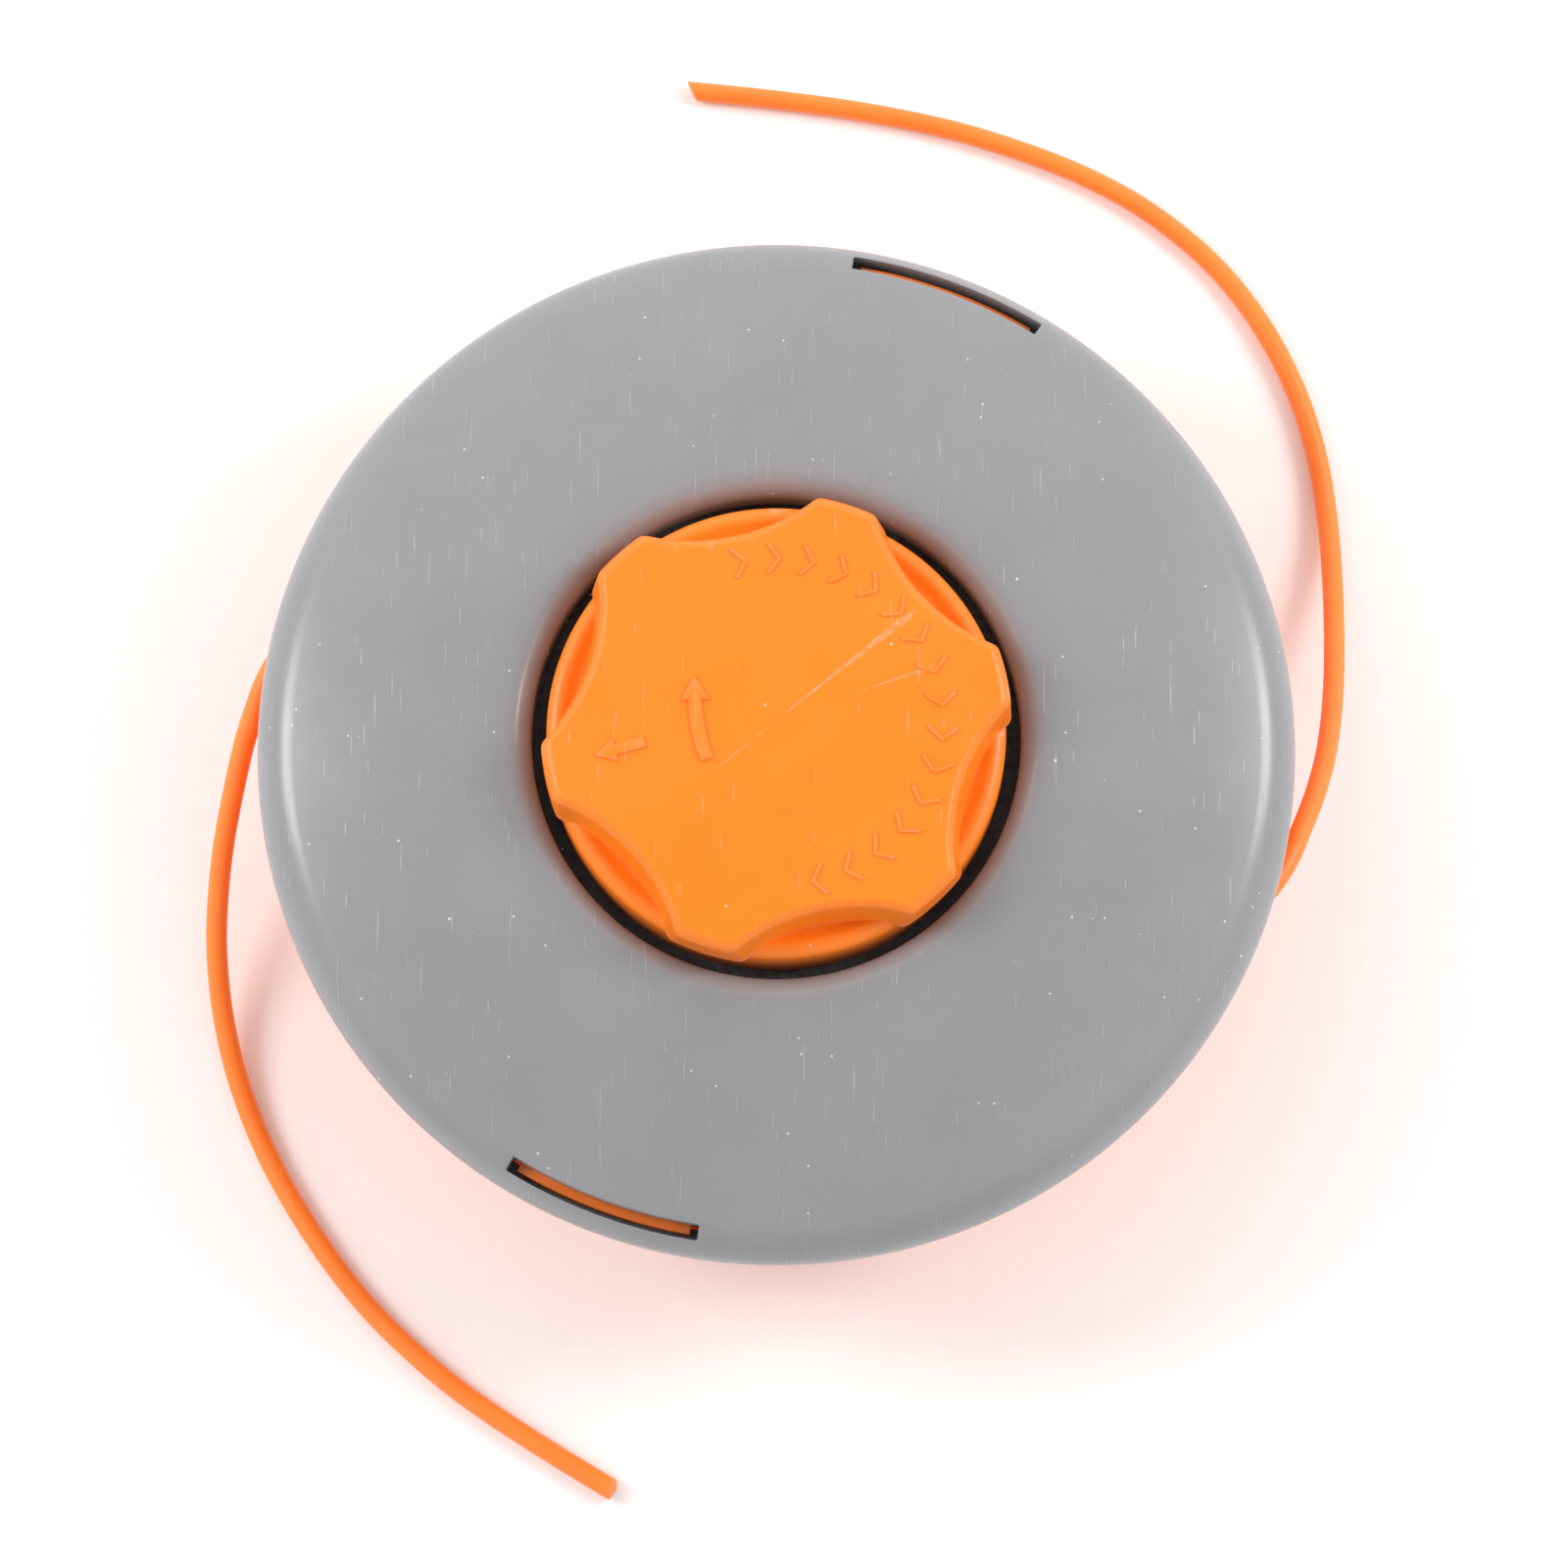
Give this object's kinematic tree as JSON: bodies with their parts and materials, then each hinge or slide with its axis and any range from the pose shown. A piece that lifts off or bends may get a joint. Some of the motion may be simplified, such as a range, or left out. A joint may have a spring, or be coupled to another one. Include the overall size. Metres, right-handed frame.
{
  "type": "trimmer head",
  "caption": "Bump-feed trimmer head with a round latched cover, a lobed feed knob and a length of cutting line out of each side.",
  "frame": {"origin": "centre of the hub face that meets the drive shaft, which is the underside the head stands on", "axes": "+Z along the drive axis towards the knob, +X to the right and +Y up in the picture"},
  "size_m": [0.1463, 0.1867, 0.0532],
  "materials": {
    "orange_housing": "moulded nylon, satin",
    "grey_cover": "moulded nylon, glossy with fine scratches",
    "orange_knob": "moulded nylon, satin",
    "black_spool": "moulded nylon, matt",
    "orange_line": "extruded nylon, satin",
    "plated_steel": "zinc plated",
    "eyelet_metal": "turned"
  },
  "bodies": {
    "head": {"upper_housing": "orange_housing", "drive_nut": "plated_steel", "eyelet_right": "eyelet_metal", "eyelet_left": "eyelet_metal", "lower_cover": "grey_cover", "feed_spring": "plated_steel", "line_strand_right": "orange_line", "line_strand_left": "orange_line"},
    "spring_seat": {"spring_washer": "plated_steel"},
    "spool": {"spool_drum": "black_spool", "spool_top": "black_spool", "winding_lower": "orange_line", "winding_upper": "orange_line", "bump_knob": "orange_knob", "knob_screws": "plated_steel"}
  },
  "joints": [
    {"name": "bump", "type": "slide", "parent": "head", "child": "spring_seat", "axis": [0, 0, 1], "range_m": [-0.006, 0], "stiffness_N_per_m": 500, "springref_m": 0.01, "deforming": ["feed_spring"]},
    {"name": "feed_turn", "type": "hinge", "parent": "spring_seat", "child": "spool", "pos_m": [0, 0, 0.03], "axis": [0, 0, 1], "continuous": true}
  ]
}
